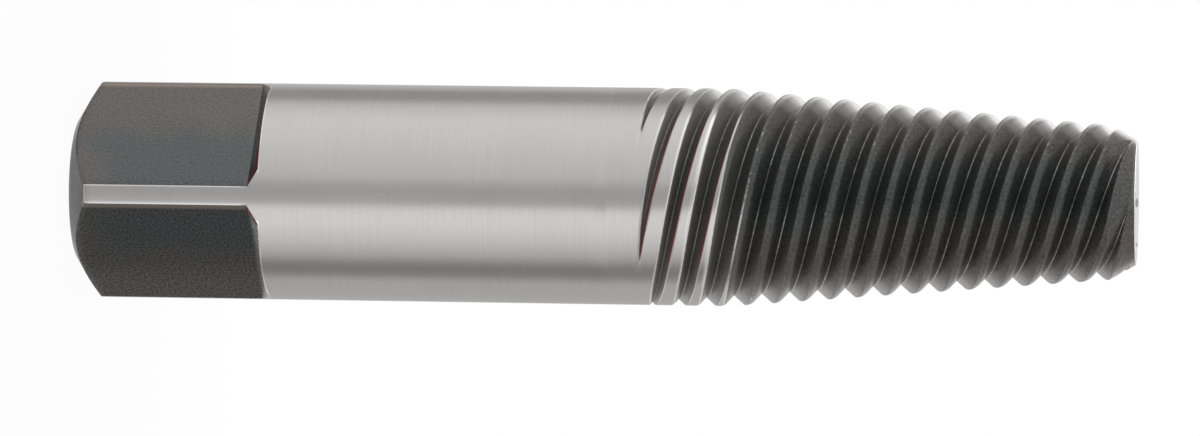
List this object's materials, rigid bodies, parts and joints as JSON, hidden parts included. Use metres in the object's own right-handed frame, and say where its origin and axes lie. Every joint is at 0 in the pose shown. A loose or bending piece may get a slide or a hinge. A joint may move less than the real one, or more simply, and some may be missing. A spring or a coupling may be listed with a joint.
{
  "type": "screw extractor",
  "caption": "Tapered screw extractor with left-hand spiral flutes, a plain ground shank and a square drive end.",
  "frame": {"origin": "middle of the flat face at the drive end, on which the tool stands", "axes": "+Z runs along the tool's axis from the drive end to the tip; +X and +Y are square to the drive flats"},
  "size_m": [0.0208, 0.0208, 0.1022],
  "materials": {
    "tool_steel": "bright ground shank, corner lands and tip face; black oxide on the drive flats, chamfers and flutes"
  },
  "bodies": {
    "root": {"screw_extractor": "tool_steel"}
  },
  "joints": []
}
